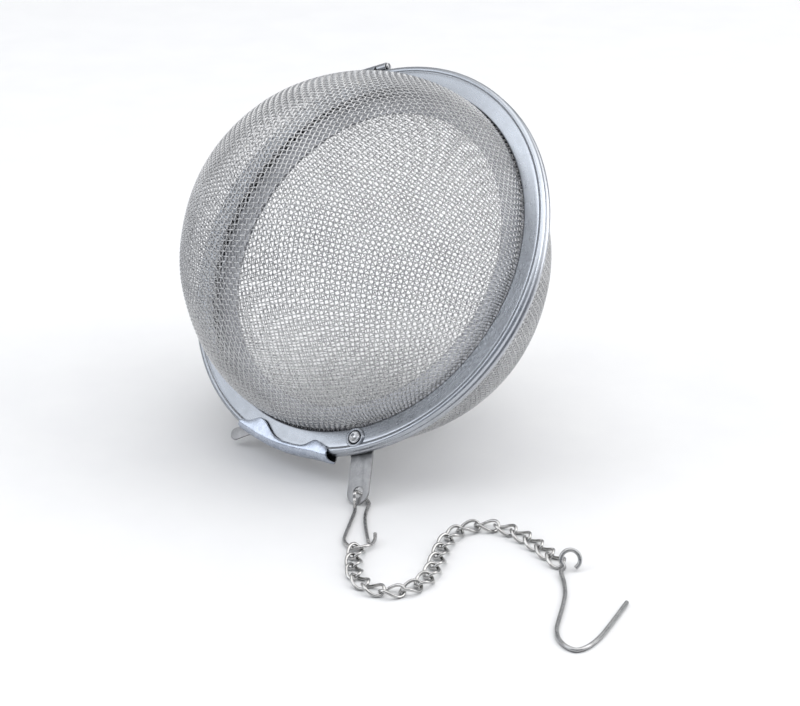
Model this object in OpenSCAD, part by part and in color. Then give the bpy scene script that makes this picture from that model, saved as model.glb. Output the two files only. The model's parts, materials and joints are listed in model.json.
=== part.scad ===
// Tea infuser: a ball of two woven steel domes in rolled rims, hinged on one side and held by a
// lever latch on the other, with a snap clip, a twisted curb chain and a hook for the mug.
// Millimetres. +Z is up and the table is z = 0: the ball leans on its rear dome, on the end of
// the latch strap and on the thumb tab, and the chain lies on the table in an S towards -Y.
// Ball frame: origin in the middle of the mating plane, +Z out of the front dome, +X to the latch
// rivet, so the hinge is at -X.
// Suffixes: _r radius, _t thickness, _w width, _h height, _z height, _a angle in degrees.

/* [Ball] */
// Outside radius of the rolled rims
rim_r = 41;          // [40.8:0.1:41.4]
// Radius of the opening in the flat flange, where the woven dome comes out
mouth_r = 36.4;      // [36.3:0.1:36.8]
// Radius of the opening through the flat inner flange of each rim, where the two rims meet
inner_r = 31;        // [30.4:0.1:33]
// Radius of the woven dome at its foot, before it pinches into the rim
dome_r = 36.8;       // [36.5:0.1:37.0]
// Depth of each dome from the mating plane to its crown
dome_h = 36.6;       // [35.5:0.1:37.0]
// Roundness of the dome: 2 is an ellipsoid, less is more pointed
dome_power = 1.95;   // [1.85:0.01:2]
// Thickness that stands for the woven wire sheet
weave_t = 0.38;      // [0.3:0.02:0.4]
// Radius of the rolled edge of each rim
roll_r = 0.7;        // [0.6:0.05:0.75]

/* [Latch] */
// Distance of the rivet from the centre of the ball
rivet_x = 38.4;      // [38.3:0.05:38.6]
// Sheet thickness of the lever
lever_t = 0.4;       // [0.35:0.05:0.5]
// Width of the chain strap
strap_w = 4.9;       // [4.4:0.1:5.2]
// Distance from the rivet to the chain hole
strap_hole = 10;     // [9.6:0.1:10.2]
// Radius of the chain hole
hole_r = 1.1;        // [1:0.05:1.2]
// Width of the thumb tab
tab_w = 2.5;         // [2.2:0.1:3]

/* [Chain and hook] */
// Wire diameter of the links
link_wire = 0.6;     // [0.5:0.02:0.64]
// Half of the width of a link, at the wire's centre
link_half_w = 1.42;  // [1.35:0.01:1.5]
// Wire diameter of the clip
clip_wire = 0.7;     // [0.6:0.02:0.8]
// Wire diameter of the hook
hook_wire = 0.8;     // [0.7:0.02:0.9]

/* [Hidden] */
$fn = 96;

// ---- pose of the ball over the table ----
tilt = 51.2;               // how far the front dome leans from straight up
turn = -133.5;             // the way it leans
spin = 28.9;               // turn in the ball's own frame, which puts the rivet beside the foot
ball_centre = [-5.066, 25.824, 36.43];

function turn_z(p, a) = [p[0]*cos(a) - p[1]*sin(a), p[0]*sin(a) + p[1]*cos(a), p[2]];
function turn_y(p, a) = [p[0]*cos(a) + p[2]*sin(a), p[1], -p[0]*sin(a) + p[2]*cos(a)];
// a direction and a point of the ball frame, seen from the table
function ball_dir(p) = turn_z(turn_y(turn_z(p, spin), tilt), turn);
function ball_point(p) = ball_dir(p) + ball_centre;
function unit(v) = v/norm(v);

module in_ball()
    translate(ball_centre)
        rotate([0, 0, turn]) rotate([0, tilt, 0]) rotate([0, 0, spin])
            children();
module at_rivet(z) translate([rivet_x, 0, z]) children();

// part of a flat ring, from end_a anticlockwise to start_a
module sector(inside, outside, start_a, end_a, z0, z1)
    translate([0, 0, z0]) rotate([0, 0, end_a])
        rotate_extrude(angle = start_a - end_a)
            translate([inside, 0]) square([outside - inside, z1 - z0]);

// ---- section of a rim: heights over the mating plane, for the front rim ----
roll_centre_r = rim_r - roll_r;
roll_z = roll_r + 0.02;
flange_outer_z = 1.22;
flange_inner_z = 0.82;
foot_z = 0.40;             // the weave's flat foot, pinched between the flange and the inner ring
foot_r = rim_r - 1.75;
ring_outer_z = 0.36;       // the inner ring under the foot
ring_inner_z = 0.06;
lip_z = 2*roll_z + 0.12;   // underside of the latch lip over the front rim

// ---- holes round the rivet ----
weave_hole_r = 1.45;
front_hole_r = 1.35;
front_hole_roll = [1.70, 0.27];    // rolled edge of the front hole: centre radius, section radius
rear_hole_r = 0.82;
lever_hole_r = 0.84;

// ---- latch cut-out: the lip lies over this stretch of the front rim, cut away under it ----
latch_start_a = -8.6;
latch_end_a = -42.2;
module latch_gap(inside, margin_a, z1)
    sector(inside, rim_r + 4, latch_start_a + margin_a, latch_end_a - margin_a, -1, z1);

// ---- woven dome: a rounded cap whose foot pinches in to pass through the flange ----
pinch_depth = 1.6;
pinch_fade = 1.8;          // height over which the pinch dies away
profile_steps = 40;
crown_r = 0.4;             // least radius of the inner profile's points

function profile_r(z) =
    dome_r*pow(max(0, 1 - pow(z/dome_h, dome_power)), 1/dome_power)
    - pinch_depth*exp(-z/pinch_fade);
// heights bunched towards the crown, where the profile turns over
function profile_z(i) = foot_z + (dome_h - foot_z)*sin(90*i/profile_steps);
// outward unit normal of the profile at height z, as [r, z]
function profile_normal(z) =
    let (step = 0.05,
         low = max(foot_z, z - step),
         high = min(dome_h - 0.001, z + step),
         along = unit([profile_r(high) - profile_r(low), high - low]))
    [along[1], -along[0]];

outer_profile = [for (i = [0:profile_steps-1]) let (z = profile_z(i)) [profile_r(z), z]];
inner_profile = [for (i = [profile_steps-1:-1:0])
    let (z = profile_z(i), normal = profile_normal(z))
    [max(crown_r, profile_r(z) - weave_t*normal[0]), max(foot_z, z - weave_t*normal[1])]];

module weave() difference() {
    union() {
        rotate_extrude()
            polygon(concat(outer_profile, [[0, dome_h], [0, dome_h - weave_t]], inner_profile));
        // flat foot held in the rim
        translate([0, 0, foot_z]) difference() {
            cylinder(r = foot_r, h = weave_t);
            translate([0, 0, -1]) cylinder(r = profile_r(foot_z) - weave_t/2, h = 3);
        }
    }
    at_rivet(-1) cylinder(r = weave_hole_r, h = 3);
}

module front_mesh() color("gainsboro") in_ball() difference() {
    weave();
    latch_gap(37.15, margin_a = 1.4, z1 = 1.6);
}
module rear_mesh() color("gainsboro") in_ball() mirror([0, 0, 1]) weave();

// ---- hinge at -X: one knuckle on the front rim between two on the rear rim ----
pin_x = -(rim_r + 1.05);
pin_r = 0.45;
pin_half = 4.1;            // half length of the pin
pin_head_r = 0.75;
pin_head_t = 0.5;
pin_head_y = 3.95;         // middle of each head
bore_r = 0.50;
knuckle_r = 1.0;

module hinge_cylinder(y, length, radius)
    translate([pin_x, y, 0]) rotate([-90, 0, 0]) cylinder(r = radius, h = length);

// side is 1 for the front rim and -1 for the rear rim
module knuckle(y0, y1, side) {
    // leaf from the hinge axis towards the ball, between two distances from the mating plane
    module leaf(length, near, far)
        translate([pin_x, y0, side > 0 ? near : -far]) cube([length, y1 - y0, far - near]);
    difference() {
        union() {
            hinge_cylinder(y0, y1 - y0, knuckle_r);
            leaf(2.7, near = 0.55, far = flange_outer_z + 0.02);
            leaf(4.6, near = flange_inner_z + 0.02, far = flange_outer_z + 0.12);
        }
        hinge_cylinder(y0 - 1, y1 - y0 + 2, bore_r);
    }
}

module hinge_pin() color("gray") in_ball() {
    hinge_cylinder(-pin_half, 2*pin_half, pin_r, $fn = 48);
    for (end = [-1, 1])
        hinge_cylinder(end*pin_head_y - pin_head_t/2, pin_head_t, pin_head_r, $fn = 48);
}

// ---- rims: a ring of sheet folded over the foot of the weave, with a rolled outer edge ----
module flat_ring(inside, z0, z1) translate([0, 0, z0]) difference() {
    cylinder(r = roll_centre_r, h = z1 - z0);
    translate([0, 0, -1]) cylinder(r = inside, h = z1 - z0 + 2);
}
module rim_ring() {
    flat_ring(mouth_r, flange_inner_z, flange_outer_z);
    flat_ring(inner_r, ring_inner_z, ring_outer_z);
    translate([0, 0, roll_z])
        rotate_extrude() translate([roll_centre_r, 0]) circle(r = roll_r, $fn = 32);
}

module front_rim() color("silver") in_ball() difference() {
    union() {
        rim_ring();
        // rolled edge of the rivet's clearance hole
        at_rivet(flange_outer_z + 0.05)
            rotate_extrude()
                translate([front_hole_roll[0], 0]) circle(r = front_hole_roll[1], $fn = 24);
        knuckle(-1.3, 1.3, side = 1);
    }
    at_rivet(-2) cylinder(r = front_hole_r, h = 6);
    latch_gap(37.25, margin_a = 0.9, z1 = 4);
}

module rear_rim() color("silver") in_ball() difference() {
    union() {
        mirror([0, 0, 1]) rim_ring();
        knuckle(-3.6, -1.45, side = -1);
        knuckle(1.45, 3.6, side = -1);
    }
    at_rivet(-4) cylinder(r = rear_hole_r, h = 6);
}

// ---- rivet: a shoulder through the front rim's clearance hole, a shank through the rear rim and
// the lever, and a peened tail ----
plate_z = -lip_z;                  // front face of the lever's plate, behind the rear rim
lever_z = plate_z - lever_t;       // rear face of the plate
// bottom z, height, bottom radius, top radius
rivet_steps = [
    [lever_z - 0.06, 3.2,  0.78, 0.78],    // shank
    [-0.04,          1.55, 1.15, 1.15],    // shoulder
    [1.5,            0.25, 1.15, 0.85],    // bevelled head
    [lever_z - 0.42, 0.38, 1.3,  1.3],     // tail
];
dimple_r = 0.85;
dimple_z = 1.75 + 0.55;            // top of the head, and the sphere's centre above it

module latch_rivet() color("gainsboro") in_ball() difference() {
    union() for (s = rivet_steps)
        at_rivet(s[0]) cylinder(r1 = s[2], r2 = s[3], h = s[1], $fn = 48);
    at_rivet(dimple_z) sphere(r = dimple_r, $fn = 32);
}

// ---- latch lever: one stamping. Plate behind the rear rim, a wall round both rolled edges, a
// wavy lip over the front rim, a thumb tab at the far end and the chain strap past the rivet ----
wall_inner_r = rim_r + 0.17;
wall_outer_r = wall_inner_r + lever_t;
plate_inner_r = rivet_x - 1.0;
plate_eye_r = 1.62;                // round of the plate about the rivet
strap_a = -5;
strap_end = strap_hole - 0.07;     // centre of the strap's round end, from the rivet

tab_root_a = latch_end_a + 0.6;    // where the tab leaves the channel
tab_root = [wall_outer_r*cos(tab_root_a) - 0.6, wall_outer_r*sin(tab_root_a) + 0.9, lever_z];
tab_a = -82;
tab_end = 5.3 - tab_w/2;           // centre of the tab's round end, from its root
tab_overlap = 2.3;                 // length of tab back over the plate
tab_inset = 0.02;                  // how much thinner the tab is on each face

// the lip: a narrow strip along the wall with a small lobe near the rivet and a broad one, made
// of two circles, at the tab
lip_t = lever_t - 0.03;
// angle, centre's distance from the ball's axis, radius
lip_lobes = [[-13.2, 40.7, 2.1], [-35.6, 41.3, 3.65], [-30.6, 41.3, 2.7]];

module lip() translate([0, 0, lip_z]) intersection() {
    cylinder(r = wall_inner_r + 0.2, h = lip_t);
    union() {
        sector(39.85, wall_outer_r + 1, latch_start_a - 0.2, latch_end_a + 0.5, 0, lip_t);
        for (lobe = lip_lobes)
            rotate([0, 0, lobe[0]]) translate([lobe[1], 0, 0]) cylinder(r = lobe[2], h = lip_t);
    }
}

module strap() rotate([0, 0, strap_a]) {
    translate([0, -strap_w/2, 0]) cube([strap_end, strap_w, lever_t]);
    translate([strap_end, 0, 0]) cylinder(r = strap_w/2, h = lever_t);
}

module thumb_tab() translate(tab_root) rotate([0, 0, tab_a]) {
    translate([-tab_overlap, -tab_w/2, tab_inset])
        cube([tab_end + tab_overlap, tab_w, lever_t - 2*tab_inset]);
    translate([tab_end, 0, tab_inset]) cylinder(r = tab_w/2, h = lever_t - 2*tab_inset);
}

// plate and wall in one L-shaped section
module channel()
    rotate([0, 0, latch_end_a]) rotate_extrude(angle = latch_start_a - latch_end_a) polygon([
        [plate_inner_r, lever_z], [wall_outer_r, lever_z], [wall_outer_r, lip_z + lever_t],
        [wall_inner_r, lip_z + lever_t], [wall_inner_r, plate_z], [plate_inner_r, plate_z]]);

module latch_lever() color("lightsteelblue") in_ball() difference() {
    union() {
        // plate between the rivet and the channel
        sector(plate_inner_r, wall_outer_r - 0.1, -1, latch_start_a - 2, lever_z, plate_z);
        at_rivet(lever_z) {
            cylinder(r = plate_eye_r, h = lever_t);
            strap();
        }
        channel();
        lip();
        thumb_tab();
    }
    at_rivet(plate_z - 2) cylinder(r = lever_hole_r, h = 4, $fn = 48);
    at_rivet(plate_z - 2) rotate([0, 0, strap_a])
        translate([strap_hole, 0, 0]) cylinder(r = hole_r, h = 4, $fn = 64);
}

// ---- wire: a round section carried along a path ----
wire_sides = 8;

// the part of a vector square to the tangent, at unit length
function square_to(v, tangent) = unit(v - (v*tangent)*tangent);
function wire_ring(centre, tangent, normal, diameter) =
    let (across = cross(tangent, normal))
    [for (j = [0:wire_sides-1]) let (a = 360*j/wire_sides)
        centre + diameter/2*(cos(a)*normal + sin(a)*across)];
// triangles between two rings, given by their numbers
function wire_skin(ring, next_ring) =
    let (a = ring*wire_sides, b = next_ring*wire_sides)
    [for (j = [0:wire_sides-1]) let (k = (j + 1)%wire_sides)
        each [[a + j, b + j, b + k], [a + j, b + k, a + k]]];

function path_tangent(path, i) = unit(path[min(i + 1, len(path) - 1)] - path[max(i - 1, 0)]);
// normals carried from point to point without twist
function path_normals(path, start) =
    [for (i = 0, n = square_to(start, path_tangent(path, 0));
          i < len(path);
          i = i + 1, n = i < len(path) ? square_to(n, path_tangent(path, i)) : n) n];

module open_wire(path, diameter, start_normal) {
    normals = path_normals(path, start_normal);
    last = len(path) - 1;
    points = [for (i = [0:last])
        each wire_ring(path[i], path_tangent(path, i), normals[i], diameter)];
    faces = concat(
        [for (i = [0:last-1]) each wire_skin(i, i + 1)],
        [[for (j = [0:wire_sides-1]) j]],
        [[for (j = [wire_sides-1:-1:0]) last*wire_sides + j]]);
    polyhedron(points = points, faces = faces, convexity = 6);
}

module closed_wire(path, normals, diameter) {
    count = len(path);
    points = [for (i = [0:count-1])
        let (tangent = unit(path[(i + 1)%count] - path[(i + count - 1)%count]))
        each wire_ring(path[i], tangent, square_to(normals[i], tangent), diameter)];
    faces = [for (i = [0:count-1]) each wire_skin(i, (i + 1)%count)];
    polyhedron(points = points, faces = faces, convexity = 6);
}

// smooth curve through control points
spline_steps = 3;
function spline(knots) =
    let (last = len(knots) - 1)
    concat([for (i = [0:last-1]) for (s = [0:spline_steps-1])
        let (u = s/spline_steps,
             p0 = knots[max(i - 1, 0)], p1 = knots[i],
             p2 = knots[i + 1], p3 = knots[min(i + 2, last)])
        0.5*(2*p1 + (p2 - p0)*u + (2*p0 - 5*p1 + 4*p2 - p3)*u*u
             + (3*p1 - p0 - 3*p2 + p3)*u*u*u)],
        [knots[last]]);

// ---- snap clip: along the table, over the strap's end, through its hole and back again ----
hole_centre = ball_point([rivet_x + strap_hole*cos(strap_a), strap_hole*sin(strap_a),
                          plate_z - lever_t/2]);
strap_normal = ball_dir([0, 0, 1]);
strap_along = ball_dir([cos(strap_a), sin(strap_a), 0]);
// under the hole, at the height of the wire's centre when it lies on the table
clip_origin = [hole_centre[0], hole_centre[1], clip_wire/2 + 0.02];
// x, y, z from clip_origin: the bend at the chain, then the run back to the strap
clip_out = [
    [3.35, -14.9, 1.0], [3.3, -16.5, 0.62], [2.8, -18.0, 0.48], [1.75, -19.15, 0.73],
    [0.3, -19.4, 0.5], [-0.95, -18.9, 0.27], [-1.95, -17.3, 0.2], [-2.35, -15.3, 0],
    [-2.05, -13.0, 0], [-1.25, -8.4, 0], [-0.62, -4.6, 0.02], [-0.62, -3.2, 0.30]];
// offsets from the hole's centre: over the strap's end and through the hole
clip_loop = [
    1.00*strap_normal + 1.75*strap_along,
    1.22*strap_normal + 0.7*strap_along,
    0.75*strap_normal + 0.04*strap_along,
    [0, 0, 0],
    -0.8*strap_normal + 0.1*strap_along + [0.2, 0, 0]];
// x, y, z from clip_origin: the second run, out towards the chain
clip_return = [
    [1.65, -0.35, 0.15], [2.1, -1.6, 0], [1.72, -3.6, 0], [1.40, -6.2, 0],
    [1.45, -9.5, 0], [1.75, -13.0, 0], [2.1, -16.2, 0]];

module chain_clip() color("silver") open_wire(
    spline(concat([for (p = clip_out) clip_origin + p],
                  [for (p = clip_loop) hole_centre + p],
                  [for (p = clip_return) clip_origin + p])),
    clip_wire, start_normal = [0.3, 0.2, 1]);

// ---- chain: its lay on the table is a straight start and two bends, and each link is a twisted
// oval, standing at 45 degrees at one end and at -45 at the other, so that neighbours cross ----
link_count = 20;
link_pitch = 3.64;
link_half_l = link_pitch/2 + 0.38; // at the wire's centre: 0.16 of play at each joint
link_z = 0.87;                     // height of the chain's centre line over the table
link_steps = 28;
link_twist_a = 45;
link_power = 0.9;                  // 1 is an ellipse, less is squarer
chain_start = [hole_centre[0] + 0.15, hole_centre[1] - 18.9, link_z];

// share of a bend's angle turned by link k: half at the middle link
function bend(k, angle, middle, spread) = angle/(1 + exp(-(k - middle)/spread));
function heading(k) = -101.4 + bend(k, angle = 188, middle = 5.72, spread = 1.25)
                             + bend(k, angle = -149.6, middle = 14.47, spread = 1.1);
function joint(k) = k <= 0 ? chain_start
    : joint(k - 1) + link_pitch*[cos(heading(k)), sin(heading(k)), 0];

function squared(x) = sign(x)*pow(abs(x), link_power);
function link_x(a) = link_half_l*squared(cos(a));
function link_twist(a) = link_twist_a*link_x(a)/link_half_l;
function link_point(a) =
    let (y = link_half_w*squared(sin(a)), twist = link_twist(a))
    [link_x(a), y*cos(twist), y*sin(twist)];
function link_normal(a) = [0, -sin(link_twist(a)), cos(link_twist(a))];
link_angles = [for (i = [0:link_steps-1]) 360*i/link_steps];

module chain_link(k) color(k % 2 == 0 ? "silver" : "lightgray")
    translate((joint(k - 1) + joint(k))/2) rotate([0, 0, heading(k)])
        closed_wire([for (a = link_angles) link_point(a)],
                    [for (a = link_angles) link_normal(a)], link_wire);

// ---- mug hook: an eye that stands up from the table, a stem and a wide open hook ----
hook_z = hook_wire/2 + 0.035;
eye_r = 1.75;
eye_rise = 0.86;                   // upward part of the eye's second axis
eye_across = unit([1, 0.12, 0]);
eye_up = unit([-0.06, 0.5, eye_rise]);
eye_centre = joint(link_count) + [1.66, -0.37, hook_z + eye_r*eye_rise - link_z + 0.05];
hook_origin = [eye_centre[0] - 2.4, eye_centre[1] + 0.2, hook_z];
// x, y, z from hook_origin: the stem, the bend and the open arm
hook_path = [
    [0.62, -2.6, 0.35], [0.95, -5.6, 0], [0.85, -9.6, 0], [0.2, -13.6, 0], [-0.75, -18.0, 0],
    [-1.4, -21.6, 0], [-1.2, -24.6, 0], [-0.2, -26.9, 0], [1.45, -28.1, 0], [3.5, -27.0, 0],
    [5.8, -23.9, 0], [8.25, -19.1, 0], [10.2, -15.0, 0], [11.4, -12.4, 0]];

module mug_hook() color("silver") open_wire(
    spline(concat(
        [for (a = [-62:32:238]) eye_centre + eye_r*(cos(a)*eye_across + sin(a)*eye_up)],
        [for (p = hook_path) hook_origin + p])),
    hook_wire, start_normal = [0.2, 0.3, 1]);

front_mesh();
front_rim();
rear_mesh();
rear_rim();
hinge_pin();
latch_lever();
latch_rivet();
chain_clip();
chain_link(1);  // chain_link_01
chain_link(2);  // chain_link_02
chain_link(3);  // chain_link_03
chain_link(4);  // chain_link_04
chain_link(5);  // chain_link_05
chain_link(6);  // chain_link_06
chain_link(7);  // chain_link_07
chain_link(8);  // chain_link_08
chain_link(9);  // chain_link_09
chain_link(10);  // chain_link_10
chain_link(11);  // chain_link_11
chain_link(12);  // chain_link_12
chain_link(13);  // chain_link_13
chain_link(14);  // chain_link_14
chain_link(15);  // chain_link_15
chain_link(16);  // chain_link_16
chain_link(17);  // chain_link_17
chain_link(18);  // chain_link_18
chain_link(19);  // chain_link_19
chain_link(20);  // chain_link_20
mug_hook();
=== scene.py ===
"""A ball of two woven steel domes, with a rolled rim on each, a hinge, a latch lever, and a
clip and chain that lead to a mug hook.

Sizes are in mm and become metres when a mesh is made. The row frame is +Z up with the floor at
z = 0. The ball has a frame of its own, taken from the joints: its rims meet in the plane z = 0,
the front half is on +Z and the rear half on -Z, the rivet and latch are on +X and the hinge on
-X. Azimuths are degrees about the ball's Z, from its +X. Chain, clip and hook lie near the floor.
"""
import json
import math
from math import pi

import bmesh
import bpy
import numpy as np
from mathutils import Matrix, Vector


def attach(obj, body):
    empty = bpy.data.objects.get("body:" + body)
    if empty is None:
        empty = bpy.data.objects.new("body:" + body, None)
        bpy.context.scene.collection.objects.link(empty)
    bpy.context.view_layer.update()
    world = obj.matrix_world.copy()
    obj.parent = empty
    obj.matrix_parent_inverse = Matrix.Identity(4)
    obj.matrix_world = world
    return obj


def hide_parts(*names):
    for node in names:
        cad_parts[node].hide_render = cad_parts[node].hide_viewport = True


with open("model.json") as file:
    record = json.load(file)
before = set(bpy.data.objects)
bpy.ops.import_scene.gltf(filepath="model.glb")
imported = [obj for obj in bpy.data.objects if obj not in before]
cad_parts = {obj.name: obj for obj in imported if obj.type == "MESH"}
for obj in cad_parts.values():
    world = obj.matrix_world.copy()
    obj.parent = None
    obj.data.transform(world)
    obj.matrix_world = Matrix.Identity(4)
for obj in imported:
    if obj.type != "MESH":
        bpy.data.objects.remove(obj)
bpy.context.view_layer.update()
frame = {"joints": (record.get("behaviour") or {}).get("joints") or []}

joints = {joint["name"]: joint for joint in frame["joints"]}


# ---------------------------------------------------------------- the ball's frame
def unit(vectors):
    return vectors / np.linalg.norm(vectors, axis=-1, keepdims=True)


def joint_mm(joint):
    return np.array(joint["pos_m"], float) * 1000


RIVET_X = 38.4
BALL_Z = unit(np.array(joints["latch_swing"]["axis"], float))
opening = -np.array(joints["ball_opening"]["axis"], float)
BALL_Y = unit(opening - BALL_Z * (opening @ BALL_Z))
BALL_X = np.cross(BALL_Y, BALL_Z)
BALL_AXES = np.array([BALL_X, BALL_Y, BALL_Z])
BALL_CENTRE = joint_mm(joints["latch_swing"]) - RIVET_X * BALL_X
CLIP_HOLE = joint_mm(joints["clip_swing"])


def ball_direction(vectors):
    return np.asarray(vectors, float) @ BALL_AXES


def from_ball(points):
    """Points in the ball's frame, taken to the row frame."""
    return ball_direction(points) + BALL_CENTRE


# ---------------------------------------------------------------- curves
def arc(cx, cy, radius, start, end, count):
    """Points on an arc, from `start` to `end` degrees."""
    angles = np.radians(np.linspace(start, end, count))
    return [(cx + radius * math.cos(t), cy + radius * math.sin(t)) for t in angles]


def circle(cx, cy, radius, count):
    angles = [2 * pi * i / count for i in range(count)]
    return [(cx + radius * math.cos(t), cy + radius * math.sin(t)) for t in angles]


def placed(points, origin, degrees):
    """2D points turned by `degrees` and moved to `origin`."""
    c, s = math.cos(math.radians(degrees)), math.sin(math.radians(degrees))
    return [(origin[0] + x * c - y * s, origin[1] + x * s + y * c) for x, y in points]


def spline(controls, steps):
    """Catmull-Rom curve through the controls, with `steps` points a span."""
    controls = np.asarray(controls, float)
    last = len(controls) - 1
    out = []
    for i in range(last):
        before, start = controls[max(i - 1, 0)], controls[i]
        end, after = controls[i + 1], controls[min(i + 2, last)]
        for step in range(steps):
            u = step / steps
            out.append(0.5 * (
                2 * start + (end - before) * u
                + (2 * before - 5 * start + 4 * end - after) * u * u
                + (3 * start - before - 3 * end + after) * u ** 3))
    out.append(controls[-1])
    return np.array(out)


# ---------------------------------------------------------------- meshes
def put(name, mesh, body, material, replaced):
    """Makes the mesh an object that rides on `body` in place of a CAD piece."""
    mesh.name = name
    ob = bpy.data.objects.new(name, mesh)
    bpy.context.scene.collection.objects.link(ob)
    mesh.materials.clear()
    mesh.materials.append(material)
    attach(ob, body)
    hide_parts(replaced)


def smooth_all(mesh):
    mesh.polygons.foreach_set("use_smooth", np.full(len(mesh.polygons), True))


def shade(mesh, sharp):
    """Smooth shading, with edges steeper than `sharp` degrees kept sharp."""
    smooth_all(mesh)
    mesh.set_sharp_from_angle(angle=math.radians(sharp))
    return mesh


def poly_mesh(points, faces):
    mesh = bpy.data.meshes.new("part")
    vertices = [tuple(p) for p in np.asarray(points, float) / 1000]
    mesh.from_pydata(vertices, [], [tuple(int(i) for i in face) for face in faces])
    mesh.update()
    smooth_all(mesh)
    return mesh


def move_points(mesh, points):
    mesh.vertices.foreach_set("co", (points / 1000).astype(np.float32).ravel())


def outward(mesh, drop_loose=False, weld=False):
    """Turns the normals outward, after dropping unused points or welding doubles if asked."""
    bm = bmesh.new()
    bm.from_mesh(mesh)
    if drop_loose:
        loose = [v for v in bm.verts if not v.link_faces]
        bmesh.ops.delete(bm, geom=loose, context="VERTS")
    if weld:
        bmesh.ops.remove_doubles(bm, verts=bm.verts, dist=2e-6)
    bmesh.ops.recalc_face_normals(bm, faces=bm.faces)
    bm.to_mesh(mesh)
    bm.free()
    mesh.update()
    return mesh


def joined(meshes):
    bm = bmesh.new()
    for part in meshes:
        bm.from_mesh(part)
    mesh = bpy.data.meshes.new("joined")
    bm.to_mesh(mesh)
    bm.free()
    for part in meshes:
        bpy.data.meshes.remove(part)
    return mesh


def tube_quads(rings, sides, closed=True):
    """Corner numbers [ring, side, corner] of a tube; `closed` joins its last ring to its first."""
    i = np.arange(rings if closed else rings - 1)[:, None]
    j = np.arange(sides)[None]
    next_i = (i + 1) % rings
    next_j = (j + 1) % sides
    return np.stack([i * sides + j, next_i * sides + j,
                     next_i * sides + next_j, i * sides + next_j], -1)


FLIP = [0, 3, 2, 1]  # corner order that turns a quad over


def lathe(profile, count, centre=(0, 0, 0), sharp=50):
    """A closed (radius, z) profile turned about the ball's Z through `centre`.
    A profile that starts and ends on the axis is closed by its poles."""
    profile = np.asarray(profile, float)
    poles = profile[0, 0] < 1e-6 and profile[-1, 0] < 1e-6
    ring = profile[1:-1] if poles else profile
    size = len(ring)
    angles = np.arange(count) * 2 * pi / count
    points = np.zeros((count, size, 3))
    points[:, :, 0] = ring[None, :, 0] * np.cos(angles)[:, None]
    points[:, :, 1] = ring[None, :, 0] * np.sin(angles)[:, None]
    points[:, :, 2] = ring[None, :, 1]
    points = points.reshape(-1, 3)
    quads = tube_quads(count, size)
    if poles:
        quads = quads[:, :-1]
    faces = list(quads.reshape(-1, 4))
    if poles:
        first = count * size
        points = np.vstack([points, [0, 0, profile[0, 1]], [0, 0, profile[-1, 1]]])
        for i in range(count):
            k = (i + 1) % count
            faces.append((first, k * size, i * size))
            faces.append((first + 1, i * size + size - 1, k * size + size - 1))
    points = from_ball(points + np.asarray(centre, float))
    return shade(outward(poly_mesh(points, faces)), sharp)


def torus(centre, ring_radius, tube_radius, count=64, sides=14):
    """A ring about the ball's Z."""
    x, y, z = centre
    a = np.arange(count)[:, None] * 2 * pi / count
    b = np.arange(sides)[None] * 2 * pi / sides
    reach = ring_radius + tube_radius * np.cos(b)
    points = np.stack([x + reach * np.cos(a), y + reach * np.sin(a),
                       z + tube_radius * np.sin(b) + 0 * a], -1).reshape(-1, 3)
    faces = tube_quads(count, sides).reshape(-1, 4)
    return shade(outward(poly_mesh(from_ball(points), faces)), 80)


END_CHAMFER = 0.12  # length of a wire end's chamfer, in wire diameters
END_FACE = 0.78  # radius of the flat end, in wire radii


def wire(points, diameter, sides, first_normal=(0.3, 0.2, 1.0), closed=False, guides=None):
    """A round wire along points. Its section is carried along from `first_normal`, or set at
    each point by `guides`. An open wire has chamfered ends."""
    points = np.asarray(points, float)
    if closed:
        tangents = np.roll(points, -1, 0) - np.roll(points, 1, 0)
    else:
        tangents = np.vstack([points[1] - points[0], points[2:] - points[:-2],
                              points[-1] - points[-2]])
    tangents = unit(tangents)
    normals = np.zeros_like(points)
    normal = np.asarray(first_normal, float)
    for i, tangent in enumerate(tangents):
        if guides is not None:
            normal = guides[i]
        normal = unit(normal - tangent * (normal @ tangent))
        normals[i] = normal
    binormals = np.cross(tangents, normals)
    if not closed:
        chamfer = END_CHAMFER * diameter
        points = np.vstack([points[0], points[0] + tangents[0] * chamfer, points[1:-1],
                            points[-1] - tangents[-1] * chamfer, points[-1]])
        normals = np.pad(normals, ((1, 1), (0, 0)), mode="edge")
        binormals = np.pad(binormals, ((1, 1), (0, 0)), mode="edge")
    count = len(points)
    radii = np.full(count, diameter / 2)
    if not closed:
        radii[[0, -1]] *= END_FACE
    angles = (np.arange(sides) * 2 * pi / sides)[None, :, None]
    section = np.cos(angles) * normals[:, None] + np.sin(angles) * binormals[:, None]
    rings = points[:, None] + radii[:, None, None] * section
    faces = list(tube_quads(count, sides, closed).reshape(-1, 4))
    if not closed:
        faces.append(range(sides))
        faces.append(range((count - 1) * sides, count * sides))
    return shade(outward(poly_mesh(rings.reshape(-1, 3), faces)), 60)


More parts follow.
